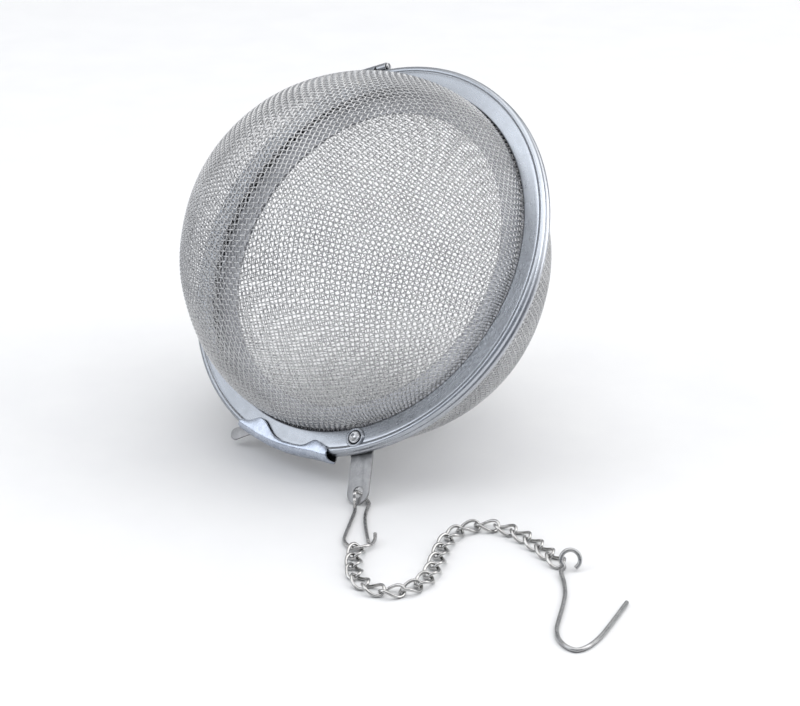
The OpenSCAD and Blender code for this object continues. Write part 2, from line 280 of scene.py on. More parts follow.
def thick(grid, thickness, normals):
    """A solid sheet with rounded edges, from a grid of mid-surface points and its normals."""
    rows, columns, _ = grid.shape
    inset = 0.22 * thickness  # how far the faces stop short of the edge
    shoulder = 0.28 * thickness  # half height of the flat part of the edge

    def drawn_in(face):
        face = face.copy()
        face[0] += unit(face[1] - face[0]) * inset
        face[-1] += unit(face[-2] - face[-1]) * inset
        face[:, 0] += unit(face[:, 1] - face[:, 0]) * inset
        face[:, -1] += unit(face[:, -2] - face[:, -1]) * inset
        return face

    layers = [drawn_in(grid + normals * thickness / 2), grid + normals * shoulder,
              grid - normals * shoulder, drawn_in(grid - normals * thickness / 2)]
    layer_size = rows * columns
    faces = []
    for quad in tube_quads(rows, columns, closed=False)[:, :-1].reshape(-1, 4):
        faces.append(quad)
        faces.append(3 * layer_size + quad[FLIP])
    border = [i * columns for i in range(rows - 1)]
    border += [(rows - 1) * columns + j for j in range(columns - 1)]
    border += [i * columns + columns - 1 for i in range(rows - 1, 0, -1)]
    border += list(range(columns - 1, 0, -1))
    for a, b in zip(border, border[1:] + border[:1]):
        for layer in range(3):
            low, high = layer * layer_size, (layer + 1) * layer_size
            faces.append((low + a, low + b, high + b, high + a))
    mesh = poly_mesh(np.concatenate([layer.reshape(-1, 3) for layer in layers]), faces)
    return shade(outward(mesh, drop_loose=True), 55)


def plate(outline, holes, z, thickness, bevel=0.07):
    """A flat plate with rounded edges, parallel to the ball's XY plane."""
    curve = bpy.data.curves.new("plate", "CURVE")
    curve.dimensions = "2D"
    curve.fill_mode = "BOTH"
    for loop in [outline] + holes:
        path = curve.splines.new("POLY")
        path.points.add(len(loop) - 1)
        for point, (x, y) in zip(path.points, loop):
            point.co = (x, y, 0, 1)
        path.use_cyclic_u = True
    curve.extrude = thickness / 2 - bevel
    curve.bevel_depth = bevel
    curve.bevel_resolution = 2
    curve.offset = -bevel
    ob = bpy.data.objects.new("plate", curve)
    bpy.context.scene.collection.objects.link(ob)
    depsgraph = bpy.context.evaluated_depsgraph_get()
    mesh = bpy.data.meshes.new_from_object(ob.evaluated_get(depsgraph))
    bpy.data.objects.remove(ob)
    bpy.data.curves.remove(curve)
    points = np.array([v.co for v in mesh.vertices])
    move_points(mesh, from_ball(points + np.array([0, 0, z])))
    outward(mesh, weld=True)
    facing = np.array([face.normal for face in mesh.polygons]) @ BALL_Z
    mesh.polygons.foreach_set("use_smooth", np.abs(facing) < 0.999)
    mesh.set_sharp_from_angle(angle=math.radians(50))
    return mesh


def drilled(mesh, x, y, radius, z_low, z_high, count=72):
    """Cuts a round hole through a mesh, along the ball's Z."""
    rings = [(px, py, z) for z in (z_low, z_high) for px, py in circle(x, y, radius, count)]
    faces = [(i, (i + 1) % count, count + (i + 1) % count, count + i) for i in range(count)]
    faces += [range(count), range(2 * count - 1, count - 1, -1)]
    target = bpy.data.objects.new("drill_target", mesh)
    bit = bpy.data.objects.new("drill_bit", outward(poly_mesh(from_ball(rings), faces)))
    for ob in (target, bit):
        bpy.context.scene.collection.objects.link(ob)
    cut = target.modifiers.new("hole", "BOOLEAN")
    cut.operation = "DIFFERENCE"
    cut.solver = "EXACT"
    cut.object = bit
    depsgraph = bpy.context.evaluated_depsgraph_get()
    out = bpy.data.meshes.new_from_object(target.evaluated_get(depsgraph))
    out.materials.clear()
    bpy.data.objects.remove(target)
    bpy.data.objects.remove(bit)
    return shade(out, 45)


# ---------------------------------------------------------------- shader nodes
class Shader:
    """Adds nodes to a tree. Inputs are given as output sockets to link, or as values."""

    def __init__(self, tree):
        self.tree = tree

    def feed(self, socket, value):
        if isinstance(value, bpy.types.NodeSocket):
            self.tree.links.new(value, socket)
        elif socket.type == "RGBA":
            socket.default_value = (*value, 1)
        else:
            socket.default_value = value

    def node(self, kind, inputs, **settings):
        made = self.tree.nodes.new(kind)
        for key, value in settings.items():
            setattr(made, key, value)
        for key, value in inputs.items():
            self.feed(made.inputs[key], value)
        return made

    def math(self, operation, a, b):
        return self.node("ShaderNodeMath", {0: a, 1: b}, operation=operation).outputs[0]

    def vector(self, operation, inputs):
        return self.node("ShaderNodeVectorMath", inputs, operation=operation)

    def combine(self, *parts):
        return self.node("ShaderNodeCombineXYZ", dict(enumerate(parts))).outputs[0]

    def stretched(self, parts, scales):
        return self.combine(*(self.math("MULTIPLY", p, k) for p, k in zip(parts, scales)))

    def coordinates(self, kind):
        return self.node("ShaderNodeTexCoord", {}).outputs[kind]

    def position(self):
        """Row-frame position in mm."""
        metres = self.coordinates("Object")
        return self.vector("SCALE", {0: metres, "Scale": 1000}).outputs[0]

    def ball_offset(self):
        inputs = {0: self.position(), 1: tuple(BALL_CENTRE)}
        return self.vector("SUBTRACT", inputs).outputs[0]

    def along(self, offset, axis):
        return self.vector("DOT_PRODUCT", {0: offset, 1: tuple(axis)}).outputs["Value"]

    def noise(self, place, scale, detail=3.0, rough=0.55):
        inputs = {"Scale": scale, "Detail": detail, "Roughness": rough, "Vector": place}
        return self.node("ShaderNodeTexNoise", inputs).outputs["Fac"]

    def remap(self, value, span, to):
        inputs = dict(enumerate((value, *span, *to)))
        return self.node("ShaderNodeMapRange", inputs).outputs[0]

    def ramp(self, factor, stops):
        """Colour ramp; stops are (position, colour)."""
        made = self.node("ShaderNodeValToRGB", {"Fac": factor})
        elements = made.color_ramp.elements
        while len(elements) > 1:
            elements.remove(elements[-1])
        elements[0].position = stops[0][0]
        for i, (position, color) in enumerate(stops):
            element = elements.new(position) if i else elements[0]
            element.color = (*color, 1)
        return made.outputs["Color"]

    def mix(self, factor, a, b, mode="MIX"):
        inputs = {0: factor, 6: a, 7: b}
        made = self.node("ShaderNodeMix", inputs, data_type="RGBA", blend_type=mode)
        return made.outputs[2]

    def multiply(self, a, b):
        return self.mix(1.0, a, b, "MULTIPLY")

    def bump(self, height, strength, distance, normal=None):
        inputs = {"Strength": strength, "Distance": distance, "Height": height}
        if normal is not None:
            inputs["Normal"] = normal
        return self.node("ShaderNodeBump", inputs).outputs[0]

    def painted_crevice_shade(self, color, distance):
        """Painted shade: darkens the colour by ambient occlusion where parts crowd together and in
        hollows.
        """
        inputs = {"Distance": distance}
        occlusion = self.node("ShaderNodeAmbientOcclusion", inputs, samples=6).outputs["AO"]
        light = self.remap(occlusion, span=(0.0, 0.75), to=(0.15, 1.35))
        light = self.math("MINIMUM", light, 1.0)
        return self.multiply(color, self.combine(light, light, light))

    def surface(self, **inputs):
        """Feeds the principled surface; Base_Color stands for "Base Color"."""
        principled = self.tree.nodes["Principled BSDF"]
        for key, value in inputs.items():
            self.feed(principled.inputs[key.replace("_", " ")], value)


# ---------------------------------------------------------------- materials
WHITE = (1, 1, 1)


def new_material(name):
    material = bpy.data.materials.new(name)
    material.use_nodes = True
    return material, Shader(material.node_tree)


def woven_steel():
    material, sh = new_material("woven_steel")
    place = sh.position()
    tone = sh.noise(place, scale=0.09, detail=4)
    fine = sh.noise(place, scale=3.0)
    color = sh.ramp(tone, [(0.3, (0.50, 0.50, 0.505)), (0.52, (0.62, 0.62, 0.625)),
                           (0.75, (0.72, 0.72, 0.72))])
    stain = sh.ramp(sh.noise(place, scale=0.35, detail=5, rough=0.7),
                    [(0.60, WHITE), (0.78, (0.80, 0.77, 0.70))])
    sh.surface(
        Metallic=1.0,
        Base_Color=sh.mix(0.6, color, sh.multiply(color, stain)),
        Roughness=sh.remap(fine, span=(0.3, 0.7), to=(0.20, 0.36)),
        Normal=sh.bump(sh.noise(place, scale=9.0, detail=2), strength=0.15, distance=0.00002))
    return material


# painted light round the rim, brighter and darker sides standing in for reflections: (turn from
# azimuth -180 to 180 as 0 to 1, grey)
RIM_PAINTED_LIGHT = [(0.0, 0.58), (0.245, 0.60), (0.405, 0.58), (0.524, 0.76), (0.627, 0.88),
          (0.755, 1.0), (0.88, 0.68), (1.0, 0.58)]


def rim_steel(name, tint):
    material, sh = new_material(name)
    offset = sh.ball_offset()
    x, y, height = (sh.along(offset, axis) for axis in BALL_AXES)
    radius = sh.vector("LENGTH", {0: sh.combine(x, y)}).outputs["Value"]
    azimuth = sh.math("ARCTAN2", y, x)
    place = sh.position()
    # fine lines round the ring from rolling and polishing
    ring = (radius, azimuth, height)
    lines = sh.noise(sh.stretched(ring, (9.0, 2.2, 9.0)), scale=1.0, detail=5, rough=0.62)
    fine = sh.noise(sh.stretched(ring, (30.0, 9.0, 30.0)), scale=1.0, rough=0.5)
    broad = sh.noise(place, scale=0.07, detail=2)
    cloud = sh.noise(place, scale=0.5, detail=4)
    dark = tuple(c * 0.93 for c in tint)
    color = sh.mix(sh.remap(broad, span=(0.35, 0.68), to=(0, 1)), dark, tint)
    glint = sh.remap(lines, span=(0.35, 0.7), to=(0.0, 0.16))
    color = sh.mix(glint, color, (0.90, 0.91, 0.93))
    smudge = sh.ramp(cloud, [(0.60, WHITE), (0.80, (0.93, 0.93, 0.92))])
    color = sh.multiply(color, smudge)
    # painted light: the rim is painted brighter or darker by azimuth to stand in for reflections
    turn = sh.remap(azimuth, span=(-pi, pi), to=(0, 1))
    color = sh.multiply(color, sh.ramp(turn, [(p, (g, g, g)) for p, g in RIM_PAINTED_LIGHT]))
    # painted shade: the flat flange inside the ball is painted darker and patchy as shade from the
    # ball's dark inside, with a painted shadow line in the gap at the fold
    patches = sh.remap(cloud, span=(0.35, 0.65), to=(0, 1))
    inner = sh.mix(patches, (0.34, 0.345, 0.365), (0.44, 0.445, 0.465))
    fold_shadow_line = sh.remap(radius, span=(35.7, 36.1), to=(0, 1))
    inner = sh.mix(fold_shadow_line, inner, (0.07, 0.07, 0.08))
    color = sh.mix(sh.remap(radius, span=(36.5, 36.8), to=(0, 1)), inner, color)
    fine_bump = sh.bump(fine, strength=0.10, distance=0.00001)
    sh.surface(
        Metallic=1.0,
        # painted shade in the rim's crevices and gaps
        Base_Color=sh.painted_crevice_shade(color, distance=0.0016),
        Roughness=sh.math("ADD", sh.remap(lines, span=(0.3, 0.7), to=(0.22, 0.31)),
                          sh.remap(cloud, span=(0.4, 0.75), to=(0.0, 0.06))),
        Normal=sh.bump(lines, strength=0.10, distance=0.00002, normal=fine_bump))
    return material


def latch_steel():
    """Painted darker on the flat plate as shade, and painted paler and bluish on the channel's
    wall as sheen; the wall is also smoother.
    """
    material, sh = new_material("pressed_latch_steel")
    height = sh.along(sh.ball_offset(), BALL_Z)
    place = sh.position()
    wall = sh.remap(height, span=(-1.50, -1.05), to=(0.0, 1.0))
    marks = sh.noise(place, scale=3.0, detail=5, rough=0.65)
    patch = sh.noise(place, scale=0.55, detail=4)
    # painted shade on the flat plate and painted bluish sheen on the channel's wall
    plate_painted_shade = sh.mix(sh.remap(patch, span=(0.32, 0.66), to=(0, 1)),
                  (0.27, 0.27, 0.275), (0.36, 0.36, 0.365))
    wall_painted_sheen = sh.mix(sh.remap(patch, span=(0.30, 0.68), to=(0, 1)),
                  (0.40, 0.445, 0.53), (0.52, 0.565, 0.65))
    color = sh.mix(wall, plate_painted_shade, wall_painted_sheen)
    scuffs = sh.remap(marks, span=(0.52, 0.80), to=(0.0, 0.22))
    color = sh.mix(scuffs, color, (0.90, 0.91, 0.92))
    dents = sh.bump(sh.noise(place, scale=0.9, detail=2), strength=0.25, distance=0.00010)
    sh.surface(
        Metallic=1.0,
        # painted shade in the latch's crevices and inside its channel
        Base_Color=sh.painted_crevice_shade(color, distance=0.0018),
        Roughness=sh.math("SUBTRACT", sh.remap(marks, span=(0.3, 0.7), to=(0.42, 0.54)),
                          sh.remap(wall, span=(0.0, 1.0), to=(0.0, 0.19))),
        Normal=sh.bump(marks, strength=0.12, distance=0.00002, normal=dents))
    return material


def plain_steel(name, tint, roughness, scale, wear=0.25):
    """Drawn or pressed steel: patchy tone, worn brighter spots and darker soil."""
    material, sh = new_material(name)
    place = sh.position()
    mapped = sh.node("ShaderNodeMapping", {"Vector": place}).outputs[0]
    marks = sh.noise(mapped, scale=scale * 3, detail=5, rough=0.65)
    patch = sh.noise(place, scale=scale * 0.35, detail=4)
    dark = tuple(c * 0.72 for c in tint)
    color = sh.mix(sh.remap(patch, span=(0.32, 0.66), to=(0, 1)), dark, tint)
    bright = sh.ramp(marks, [(0.55, (0, 0, 0)), (0.80, WHITE)])
    worn = sh.node("ShaderNodeRGBToBW", {0: bright}).outputs[0]
    color = sh.mix(sh.remap(worn, span=(0, 1), to=(0, wear)), color, (0.92, 0.92, 0.92))
    soil = sh.ramp(sh.noise(place, scale=scale * 1.1, detail=6, rough=0.7),
                   [(0.62, WHITE), (0.80, (0.62, 0.58, 0.50))])
    color = sh.mix(0.7, color, sh.multiply(color, soil))
    sh.surface(
        Metallic=1.0,
        # painted shade where parts crowd together
        Base_Color=sh.painted_crevice_shade(color, distance=0.0014),
        Roughness=sh.remap(marks, span=(0.3, 0.7), to=roughness),
        Normal=sh.bump(marks, strength=0.10, distance=0.00002))
    return material


WEAVE_STEEL = woven_steel()
FRONT_RIM_STEEL = rim_steel("rolled_rim_steel", tint=(0.58, 0.615, 0.67))
REAR_RIM_STEEL = rim_steel("rear_rim_steel", tint=(0.55, 0.57, 0.61))
LATCH_STEEL = latch_steel()
RIVET_STEEL = plain_steel("rivet_steel", tint=(0.70, 0.71, 0.73), roughness=(0.16, 0.34),
                          scale=2.5)
PIN_STEEL = plain_steel("pin_wire", tint=(0.58, 0.58, 0.59), roughness=(0.22, 0.38), scale=2.0)
CLIP_STEEL = plain_steel("clip_wire", tint=(0.62, 0.61, 0.60), roughness=(0.20, 0.34),
                         scale=2.0, wear=0.3)
CHAIN_STEEL = plain_steel("chain_wire", tint=(0.56, 0.555, 0.545), roughness=(0.10, 0.22),
                          scale=2.2, wear=0.35)
HOOK_STEEL = plain_steel("hook_wire", tint=(0.50, 0.50, 0.50), roughness=(0.22, 0.36),
                         scale=1.8, wear=0.2)

# ---------------------------------------------------------------- woven domes
DOME_RADIUS, DOME_HEIGHT, DOME_POWER = 36.8, 36.6, 1.95  # superellipse section
DOME_BASE_Z = 1.1
PINCH, PINCH_REACH = 1.6, 1.8  # how far the dome draws in at the rim, and over what height
CLOTH_INSET = 0.19  # from the dome's outside to the middle of the cloth
FOOT_Z, FOOT_RADIUS = 0.60, 37.75  # the cloth's flat edge, held in the rim
WEAVE_WIRE, WEAVE_SIDES = 0.235, 5
WEAVE_REACH = 58  # wires each side of the crown
# drape of the flat cloth: stretch from the crown outward, and sideways shift
STRETCH, STRETCH_FADE = 1.02, 0.0007
SHIFT, SHIFT_LENGTH, SHIFT_LIMIT = -2.83, 48, 52


def dome_profile():
    """Radius and z of the cloth's section from the crown to its edge, and the dome's count."""
    tau = np.linspace(0, pi / 2, 4000)
    z = DOME_BASE_Z + (DOME_HEIGHT - DOME_BASE_Z) * np.cos(tau)
    bulge = np.clip(1 - (z / DOME_HEIGHT) ** DOME_POWER, 0, None) ** (1 / DOME_POWER)
    r = np.clip(DOME_RADIUS * bulge - PINCH * np.exp(-z / PINCH_REACH), 0, None)
    slope_r, slope_z = np.gradient(r), np.gradient(z)
    slope_r[0], slope_z[0] = 1, 0
    length = np.hypot(slope_r, slope_z)
    r = np.clip(r + CLOTH_INSET * slope_z / length, 0, None)
    z = z - CLOTH_INSET * slope_r / length
    # a cubic curve turns the cloth outward into the rim
    b0, b1, b2, b3 = (np.array(p) for p in (
        (r[-1], z[-1]), (r[-1] - 0.1, 0.62), (36.15, FOOT_Z), (FOOT_RADIUS, FOOT_Z)))
    t = np.linspace(0, 1, 300)[1:, None]
    foot = (b0 * (1 - t) ** 3 + 3 * b1 * t * (1 - t) ** 2
            + 3 * b2 * t ** 2 * (1 - t) + b3 * t ** 3)
    return np.concatenate([r, foot[:, 0]]), np.concatenate([z, foot[:, 1]]), len(r)


PROFILE_R, PROFILE_Z, dome_count = dome_profile()
PROFILE_S = np.concatenate([[0], np.cumsum(np.hypot(np.diff(PROFILE_R), np.diff(PROFILE_Z)))])
normal_r, normal_z = -np.gradient(PROFILE_Z), np.gradient(PROFILE_R)
normal_length = np.hypot(normal_r, normal_z)
PROFILE_NR, PROFILE_NZ = normal_r / normal_length, normal_z / normal_length
DOME_LENGTH, CLOTH_LENGTH = PROFILE_S[dome_count - 1], PROFILE_S[-1]


def arc_length(cloth_radius):
    """Length along the dome that a radius of the flat cloth covers."""
    root = np.sqrt(np.clip(STRETCH ** 2 - 4 * STRETCH_FADE * cloth_radius, 1e-9, None))
    return (STRETCH - root) / (2 * STRETCH_FADE)


def cloth_to_dome(u, v):
    """(arc length from the crown, azimuth) of the point (u, v) of the flat cloth, in wire
    pitches. Drawing the cloth over the dome packs the wires side by side along the two weave
    directions and spreads them between."""
    azimuth = np.arctan2(v, u)
    s = arc_length(np.hypot(u, v))
    for _ in range(14):
        shift = SHIFT * (np.minimum(s, SHIFT_LIMIT) / SHIFT_LENGTH) ** 3
        x, y = u - shift * np.cos(3 * azimuth), v + shift * np.sin(3 * azimuth)
        azimuth = np.arctan2(y, x)
        s = arc_length(np.hypot(x, y))
    return s, azimuth


def wander(u, v, seed):
    """Slow drift of the wires, as in any drawn cloth."""
    rng = np.random.default_rng(seed)
    drift = np.zeros_like(u)
    for _ in range(7):
        k = rng.normal(0, 0.085, 2)
        phase = rng.uniform(0, 2 * pi)
        drift += rng.uniform(0.05, 0.13) * np.sin(k[0] * u + k[1] * v + phase)
    return drift


def dome_points(u, v, turn, side, seed):
    """Points, normals, which points are on the cloth, and how far the wires weave in and out."""
    u, v = u + wander(u, v, seed), v + wander(u, v, seed + 50)
    s, azimuth = cloth_to_dome(u, v)
    on_cloth = s < CLOTH_LENGTH
    capped = np.minimum(s, CLOTH_LENGTH)
    r, z, n_r, n_z = (np.interp(capped, PROFILE_S, column)
                      for column in (PROFILE_R, PROFILE_Z, PROFILE_NR, PROFILE_NZ))
    azimuth = azimuth + math.radians(turn)
    # shallow waves of the drawn sheet, fading out at the dome's base
    swell = (0.05 * np.sin(5 * azimuth + 0.35 * s + seed)
             + 0.045 * np.sin(0.21 * u + 1.3) * np.cos(0.17 * v + seed))
    swell = swell * np.clip((DOME_LENGTH - s) / 8, 0, 1)
    points = np.stack([r * np.cos(azimuth), r * np.sin(azimuth), z], -1)
    normals = np.stack([n_r * np.cos(azimuth), n_r * np.sin(azimuth), n_z], -1)
    points = points + normals * swell[..., None]
    if side < 0:
        points[..., 2] *= -1
        normals[..., 2] *= -1
    flattened = np.clip((s - DOME_LENGTH) / 1.2, 0, 1)
    return points, normals, on_cloth, WEAVE_WIRE / 2 * (1 - 0.6 * flattened)


def woven_mesh(points, quads, uv):
    points = np.asarray(points, np.float32) / 1000
    quads = np.asarray(quads, np.int32)
    mesh = bpy.data.meshes.new("weave")
    mesh.vertices.add(len(points))
    mesh.vertices.foreach_set("co", points.ravel())
    mesh.loops.add(quads.size)
    mesh.loops.foreach_set("vertex_index", quads.ravel())
    mesh.polygons.add(len(quads))
    mesh.polygons.foreach_set("loop_start", np.arange(0, quads.size, 4, dtype=np.int32))
    mesh.update(calc_edges=True)
    mesh.validate()
    smooth_all(mesh)
    # validate() may drop faces, and the UVs only fit if it has not
    if len(mesh.loops) == quads.size:
        layer = mesh.uv_layers.new(name="OFBake")
        layer.data.foreach_set("uv", np.asarray(uv, np.float32).ravel())
    return mesh


def woven_wires(weft, turn, side, seed):
    """All the wires of one weave direction, with two points to each pitch."""
    numbers = np.arange(-WEAVE_REACH, WEAVE_REACH + 1)
    steps = np.arange(-2 * WEAVE_REACH, 2 * WEAVE_REACH + 1)
    number, step = np.meshgrid(numbers, steps, indexing="ij")
    u, v = (step / 2, number + 0.0) if weft else (number + 0.0, step / 2)
    points, normals, on_cloth, amplitude = dome_points(u, v, turn, side, seed)
    lift = np.cos(pi * step / 2) * np.where(number % 2 == 0, 1.0, -1.0) * (-1 if weft else 1)
    points = points + normals * (amplitude * lift)[..., None]
    angles = (np.arange(WEAVE_SIDES) * 2 * pi / WEAVE_SIDES + 0.3)[None, :, None]
    j = np.arange(WEAVE_SIDES)[None]
    all_points, all_quads, all_uv, base = [], [], [], 0
    for i in range(len(numbers)):
        used = np.where(on_cloth[i])[0][1:-1]
        if len(used) < 4:
            continue
        path, normal = points[i, used], normals[i, used]
        tangent = unit(np.gradient(path, axis=0))
        normal = unit(normal - tangent * np.sum(normal * tangent, 1)[:, None])
        across = np.cross(tangent, normal)
        section = np.cos(angles) * normal[:, None] + np.sin(angles) * across[:, None]
        all_points.append((path[:, None] + WEAVE_WIRE / 2 * section).reshape(-1, 3))
        count = len(used)
        quads = tube_quads(count, WEAVE_SIDES, closed=False)[..., FLIP]
        all_quads.append(quads.reshape(-1, 4) + base)
        base += count * WEAVE_SIDES
        # each wire unrolled to its own strip
        start = np.arange(count - 1)[:, None] / len(steps) + 0 * j
        end = np.arange(1, count)[:, None] / len(steps) + 0 * j
        low, high = ((i + (j + edge) / WEAVE_SIDES * 0.94 + 0 * start) / len(numbers)
                     for edge in (0.05, 0.95))
        corners = [(start, low), (start, high), (end, high), (end, low)]
        all_uv.append(np.stack([np.stack(c, -1) for c in corners], 2).reshape(-1, 4, 2))
    return woven_mesh(from_ball(np.concatenate(all_points)), np.concatenate(all_quads),
                      np.concatenate(all_uv))


for half, turn, side, seed in (("front", -15.0, 1, 3), ("rear", 24.0, -1, 11)):
    for weft, direction in enumerate(("warp", "weft")):
        put(f"{half}_mesh_{direction}", woven_wires(weft, turn, side, seed),
            f"{half}_half", WEAVE_STEEL, f"{half}_mesh")

# ---------------------------------------------------------------- rims
# (radius, z) round the front rim's section; the rear rim mirrors it in z
RIM_PROFILE = (
    # rounded inner edge, and the face with its slight hollow
    arc(36.58, 1.04, 0.18, 180, 92, 6)
    + [(r, 1.22 - 0.035 * math.sin(pi * (r - 36.6) / 2.95)) for r in np.linspace(36.75, 39.45, 8)]
    + [(39.60, 1.205), (39.70, 1.185), (39.78, 1.20)]
    # rolled outer edge
    + arc(40.3, 0.72, 0.7, 134, -90, 30)
    # flange by the parting plane, which reaches inward, and its rounded edge
    + [(39.95, 0.045), (39.7, 0.06), (38.5, 0.06), (36.5, 0.06), (33.5, 0.06), (31.4, 0.06)]
    + arc(31.2, 0.21, 0.15, 265, 95, 7)
    + [(31.5, 0.36), (33.5, 0.35), (36.5, 0.35), (38.4, 0.36), (39.2, 0.37)]
    # slot that holds the cloth
    + arc(39.3, 0.60, 0.22, -80, 80, 7)
    + [(39.1, 0.83), (38.0, 0.84), (36.75, 0.86)]
    + arc(36.58, 1.04, 0.18, 268, 185, 6)
)
RIM_COUNT = 420
PIN_X = 42.05  # hinge pin, from the ball's axis towards -X
PIN_WIRE = 0.9
KNUCKLE_RADIUS, KNUCKLE_SHEET = 0.73, 0.36
# (distance towards -X, z) of the knuckle's strip, from the curl to its end on the rim
KNUCKLE_STRIP = [(41.98, 1.02), (41.45, 1.40), (40.7, 1.66), (39.9, 1.60), (39.2, 1.44),
                 (38.2, 1.42), (37.3, 1.42)]


def rim(side):
    return lathe([(r, side * z) for r, z in RIM_PROFILE], RIM_COUNT, sharp=45)


def knuckle(y_low, y_high, side):
    """A strip of sheet that runs over the rolled edge and curls round the pin."""
    curl = arc(PIN_X, 0, KNUCKLE_RADIUS, -250, 62, 40)[:-1]
    middle = spline(curl + KNUCKLE_STRIP, 2)
    tangent = unit(np.gradient(middle, axis=0))
    rows = [y_low, y_low + 0.07, (y_low + y_high) / 2, y_high - 0.07, y_high]
    grid = np.zeros((len(middle), len(rows), 3))
    normals = np.zeros_like(grid)
    for j, y in enumerate(rows):
        grid[:, j] = np.stack([-middle[:, 0], np.full(len(middle), y), side * middle[:, 1]], -1)
        normals[:, j] = np.stack(
            [tangent[:, 1], np.zeros(len(middle)), side * tangent[:, 0]], -1)
    return thick(from_ball(grid), KNUCKLE_SHEET, ball_direction(normals))


put("front_rim_sheet", joined([
    drilled(rim(1), RIVET_X, 0, radius=1.40, z_low=-1, z_high=4),
    torus((RIVET_X, 0, 1.30), ring_radius=1.68, tube_radius=0.33),  # raised edge of the hole
    knuckle(-1.3, 1.3, 1),
]), "front_half", FRONT_RIM_STEEL, "front_rim")
put("rear_rim_sheet", joined([
    drilled(rim(-1), RIVET_X, 0, radius=0.82, z_low=-4, z_high=1, count=48),
    knuckle(-3.6, -1.45, -1),
    knuckle(1.45, 3.6, -1),
]), "rear_half", REAR_RIM_STEEL, "rear_rim")

# ---------------------------------------------------------------- hinge pin
PIN_HALF, PIN_HEAD_Y = 4.1, 3.95
# (radius, height) of a pin head
PIN_HEAD = [(0, -0.25), (0.55, -0.25), (0.72, -0.16), (0.75, 0.0), (0.70, 0.15), (0.50, 0.25),
            (0, 0.27)]


def pin_head(end):
    """A turned head, laid along the ball's Y at one end of the pin."""
    mesh = lathe(PIN_HEAD, 32, sharp=60)
    x, y, z = ((np.array([v.co for v in mesh.vertices]) * 1000 - BALL_CENTRE) @ BALL_AXES.T).T
    points = np.stack([x, end * z, y], -1) + np.array([-PIN_X, end * PIN_HEAD_Y, 0])
    move_points(mesh, from_ball(points))
    return shade(outward(mesh), 60)


pin_path = from_ball([(-PIN_X, y, 0) for y in np.linspace(-PIN_HALF, PIN_HALF, 12)])
pin = wire(pin_path, PIN_WIRE, 24, first_normal=BALL_Z)
put("hinge_wire_pin", joined([pin, pin_head(-1), pin_head(1)]),
    "rear_half", PIN_STEEL, "hinge_pin")

# ---------------------------------------------------------------- rivet
LATCH_SHEET = 0.4
PLATE_FRONT_Z = -1.56
PLATE_Z = PLATE_FRONT_Z - LATCH_SHEET / 2  # middle of the latch's flat plate
PLATE_REAR_Z = PLATE_Z - LATCH_SHEET / 2
# head behind the latch plate: (radius, z from the plate's rear face)
RIVET_HEAD = [(0, -0.40), (0.9, -0.39), (1.15, -0.34), (1.28, -0.24), (1.30, -0.12),
              (1.27, -0.04), (0.78, -0.04)]
# (radius, z) of the shank, the post through the front rim and its dished end
RIVET_POST = (
    [(0.78, -0.06), (1.14, -0.06), (1.19, -0.01), (1.20, 1.36)]
    + arc(0.88, 1.46, 0.32, 0, 80, 8)
    + [(0.82, 1.76), (0.70, 1.69), (0.52, 1.58), (0.30, 1.50), (0, 1.47)]
)
rivet_profile = [(r, PLATE_REAR_Z + z) for r, z in RIVET_HEAD] + RIVET_POST
put("rivet_body", lathe(rivet_profile, 64, (RIVET_X, 0, 0), sharp=40),
    "rear_half", RIVET_STEEL, "latch_rivet")

# ---------------------------------------------------------------- latch lever
WALL_RADIUS = 41.37  # middle of the channel's wall
WALL_OUTER = WALL_RADIUS + LATCH_SHEET / 2
OPEN_END, NOSE_END = -8.6, -42.2  # azimuths of the channel's ends, by the rivet and by the tab
CHANNEL_COUNT = 150
CHANNEL_TOP = 1.90
PLATE_BEND, LIP_BEND = 0.82, 1.25  # radii of the channel's two bends
STRAP_AZIMUTH, STRAP_HALF, STRAP_END = -5, 2.45, 9.93
TAB_AZIMUTH, TAB_HALF, TAB_LENGTH = -82, 1.25, 5.3
TAB_ROOT = -2.3


def bell(azimuth, centre, width):
    return math.exp(-((azimuth - centre) / width) ** 2)


def lip_radius(a):
    """Inner radius of the lip: a small lobe by the rivet and a broad one by the tab."""
    depth = (1.62 + 1.45 * bell(a, -13.2, 2.9)
             + 2.45 * bell(a, -35.4, 5.6 if a > -35.4 else 3.4) + 0.15 * bell(a, -9.5, 1.6))
    return WALL_OUTER - depth


def end_rounding(distance, reach):
    """Quarter-circle draw-in, from 1 at an end to 0 at `reach` degrees from it."""
    e = max(0.0, 1 - distance / reach)
    return 1 - math.sqrt(max(0.0, 1 - e * e))


def channel_section(a):
    """(radius, z) of the channel's mid-line at azimuth a, from the plate to the lip's edge."""
    # the wall flares out a little towards its ends, most at the open one
    wall = WALL_RADIUS + 0.80 * bell(a, OPEN_END, 4.2) + 0.18 * bell(a, NOSE_END, 3.0)
    # the lip draws in to a rounded nose at one end, and has a rounded corner at the other
    lip = lip_radius(a)
    lip = lip + (wall - 0.5 - lip) * 0.9 * end_rounding(a - NOSE_END, 1.1)
    lip = lip + (wall - 0.7 - lip) * 0.55 * end_rounding(OPEN_END - a, 1.6)
    wall_low, wall_high = PLATE_Z + PLATE_BEND, CHANNEL_TOP - LIP_BEND
    section = [(r, PLATE_Z) for r in np.linspace(37.5, wall - 1.15, 6)]
    section += arc(wall - PLATE_BEND, wall_low, PLATE_BEND, -78, 0, 8)
    section += [(wall + 0.05 * math.sin(pi * f), wall_low + f * (wall_high - wall_low))
                for f in (0.25, 0.5, 0.75)]
    section += arc(wall - LIP_BEND, wall_high, LIP_BEND, 0, 74, 10)
    start_r, start_z = section[-1]
    lip = min(lip, start_r - 0.12)
    for f in np.linspace(0, 1, 11)[1:]:
        rise = (CHANNEL_TOP - start_z) * math.sin(min(1.0, f * 1.6) * pi / 2)
        section.append((start_r + (lip - start_r) * f, start_z + rise - 0.20 * f * f))
    return section


